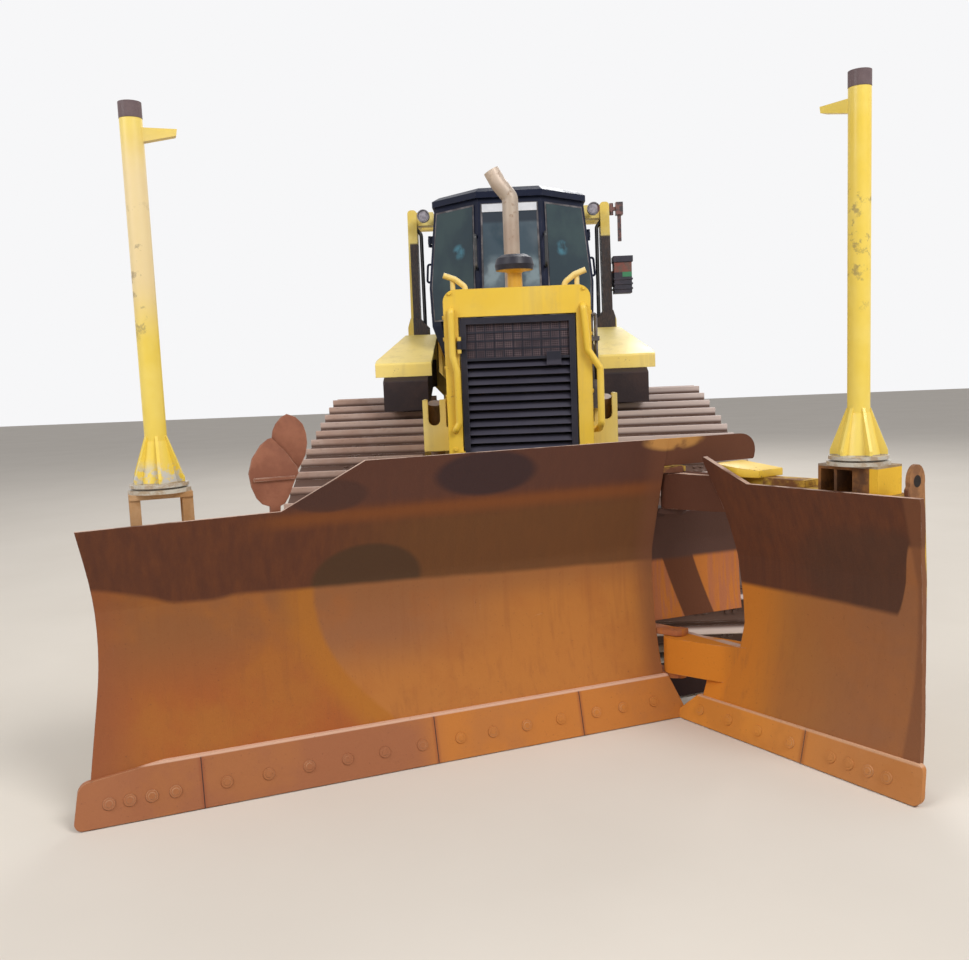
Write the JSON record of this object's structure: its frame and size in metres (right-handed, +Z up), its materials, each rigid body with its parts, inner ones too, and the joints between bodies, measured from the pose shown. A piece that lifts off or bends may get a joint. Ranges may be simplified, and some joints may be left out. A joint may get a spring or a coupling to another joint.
{
  "type": "crawler bulldozer with folding six-way blade",
  "caption": "Low ground pressure crawler bulldozer with an angled six-way blade whose left wing is folded forward, mast posts on the blade, hooded front and a cab inside roll-over posts.",
  "frame": {"origin": "on the ground under the middle of the outline", "axes": "+X to the machine's left, +Y to its rear, +Z up"},
  "size_m": [3.4816, 5.9801, 3.14],
  "materials": {
    "yellow": "worn satin",
    "black": "matt",
    "steel": "worn, rusty",
    "rusty": "rusty",
    "engine": "rough",
    "glass": "tinted",
    "barrel": "satin",
    "chrome": "polished",
    "hose": "matt"
  },
  "bodies": {
    "machine": {"cab_glass": "glass", "cab_roof": "yellow", "cab_shell": "yellow", "consoles": "black", "corner_boxes": "black", "drawbar": "yellow", "engine_block": "engine", "exhaust": "rusty", "fenders": "yellow", "final_drives": "yellow", "fuel_tank": "yellow", "guard_hoses": "hose", "handrails": "black", "hood": "yellow", "hull": "yellow", "lift_towers": "yellow", "precleaner": "black", "radiator_guard": "yellow", "receiver_box": "black", "rops": "yellow", "seat": "black", "sprockets": "steel", "track_frames": "yellow", "track_left": "steel", "track_right": "steel", "track_rollers": "steel", "work_lamps": "black"},
    "push_frame": {"push_frame": "yellow"},
    "blade_carrier": {"blade_carrier": "yellow"},
    "blade": {"blade": "rusty", "blade_edge": "steel", "right_mast": "yellow", "mast_stand": "steel", "lock_plates": "steel"},
    "wing": {"wing": "rusty", "wing_edge": "steel", "left_mast": "yellow", "left_mast_box": "yellow"},
    "lift_barrels": {"lift_barrels": "barrel"},
    "lift_rods": {"lift_rods": "chrome"},
    "angle_barrel_left": {"angle_barrel_left": "barrel"},
    "angle_rod_left": {"angle_rod_left": "chrome"},
    "angle_barrel_right": {"angle_barrel_right": "barrel"},
    "angle_rod_right": {"angle_rod_right": "chrome"},
    "tilt_barrel": {"tilt_barrel": "barrel"},
    "tilt_rod": {"tilt_rod": "chrome"},
    "grille_door": {"grille_door": "black"},
    "side_door_left": {"side_door_left": "yellow"},
    "side_door_right": {"side_door_right": "yellow"},
    "cab_door_left": {"cab_door_left": "yellow", "cab_door_glass_left": "glass"},
    "cab_door_right": {"cab_door_right": "yellow", "cab_door_glass_right": "glass"}
  },
  "joints": [
    {"name": "blade_lift", "type": "hinge", "parent": "machine", "child": "push_frame", "pos_m": [0.108, 0.864, 0.6], "axis": [-1, 0, 0], "range_deg": [-7, 18]},
    {"name": "blade_angle", "type": "hinge", "parent": "push_frame", "child": "blade_carrier", "pos_m": [0.108, -1.942, 0.5], "axis": [0, 0, 1], "range_deg": [-47.28, 2.72]},
    {"name": "blade_tilt", "type": "hinge", "parent": "blade_carrier", "child": "blade", "pos_m": [0.108, -1.942, 0.5], "axis": [-0.3791, 0.9253, 0], "range_deg": [-6, 6]},
    {"name": "wing_fold", "type": "hinge", "parent": "blade", "child": "wing", "pos_m": [0.85014, -1.85407, 0.7], "axis": [0, 0, 1], "range_deg": [0, 77.4]},
    {"name": "lift_barrel_swing", "type": "hinge", "parent": "machine", "child": "lift_barrels", "pos_m": [0.108, -0.836, 1.5], "axis": [1, 0, 0], "range_deg": [-5.6, 14.2]},
    {"name": "lift_rod_slide", "type": "slide", "parent": "lift_barrels", "child": "lift_rods", "axis": [0, 0.3624, -0.932], "range_m": [-0.345, 0.135]},
    {"name": "angle_barrel_left_swing", "type": "hinge", "parent": "push_frame", "child": "angle_barrel_left", "pos_m": [0.583, -0.986, 0.5], "axis": [0, 0, 1], "range_deg": [-0.2, 2.9]},
    {"name": "angle_rod_left_slide", "type": "slide", "parent": "angle_barrel_left", "child": "angle_rod_left", "axis": [-0.0508, -0.9987, 0], "range_m": [-0.024, 0.386]},
    {"name": "angle_barrel_right_swing", "type": "hinge", "parent": "push_frame", "child": "angle_barrel_right", "pos_m": [-0.367, -0.986, 0.5], "axis": [0, 0, 1], "range_deg": [-0.1, 0.6]},
    {"name": "angle_rod_right_slide", "type": "slide", "parent": "angle_barrel_right", "child": "angle_rod_right", "axis": [0.0208, -0.9998, 0], "range_m": [-0.396, 0.024]},
    {"name": "tilt_barrel_swing", "type": "hinge", "parent": "blade_carrier", "child": "tilt_barrel", "pos_m": [0.08298, -1.88093, 0.88], "axis": [-0.3791, 0.9253, 0], "range_deg": [-6.1, 6.1]},
    {"name": "tilt_rod_slide", "type": "slide", "parent": "tilt_barrel", "child": "tilt_rod", "axis": [-0.9253, -0.3791, 0], "range_m": [-0.041, 0.041]},
    {"name": "grille_door_hinge", "type": "hinge", "parent": "machine", "child": "grille_door", "pos_m": [-0.22, -1.171, 1.585], "axis": [0, 0, 1], "range_deg": [-90, 0]},
    {"name": "side_door_left_hinge", "type": "hinge", "parent": "machine", "child": "side_door_left", "pos_m": [0.525, -0.619, 1.755], "axis": [0, 0, 1], "range_deg": [-95, 0]},
    {"name": "side_door_right_hinge", "type": "hinge", "parent": "machine", "child": "side_door_right", "pos_m": [-0.309, -0.619, 1.755], "axis": [0, 0, -1], "range_deg": [-95, 0]},
    {"name": "cab_door_left_hinge", "type": "hinge", "parent": "machine", "child": "cab_door_left", "pos_m": [0.782, 1.755, 2.545], "axis": [0, 0, -1], "range_deg": [-85, 0]},
    {"name": "cab_door_right_hinge", "type": "hinge", "parent": "machine", "child": "cab_door_right", "pos_m": [-0.566, 1.755, 2.545], "axis": [0, 0, 1], "range_deg": [-85, 0]}
  ],
  "couplings": [
    {"joint": "lift_barrel_swing", "follows": "blade_lift", "ratio": 0.78},
    {"joint": "lift_rod_slide", "follows": "blade_lift", "m_per_rad": -1.09},
    {"joint": "angle_barrel_left_swing", "follows": "blade_angle", "ratio": -0.06},
    {"joint": "angle_rod_left_slide", "follows": "blade_angle", "m_per_rad": -0.46},
    {"joint": "angle_barrel_right_swing", "follows": "blade_angle", "ratio": -0.01},
    {"joint": "angle_rod_right_slide", "follows": "blade_angle", "m_per_rad": 0.475},
    {"joint": "tilt_barrel_swing", "follows": "blade_tilt", "ratio": 1},
    {"joint": "tilt_rod_slide", "follows": "blade_tilt", "m_per_rad": -0.38}
  ]
}
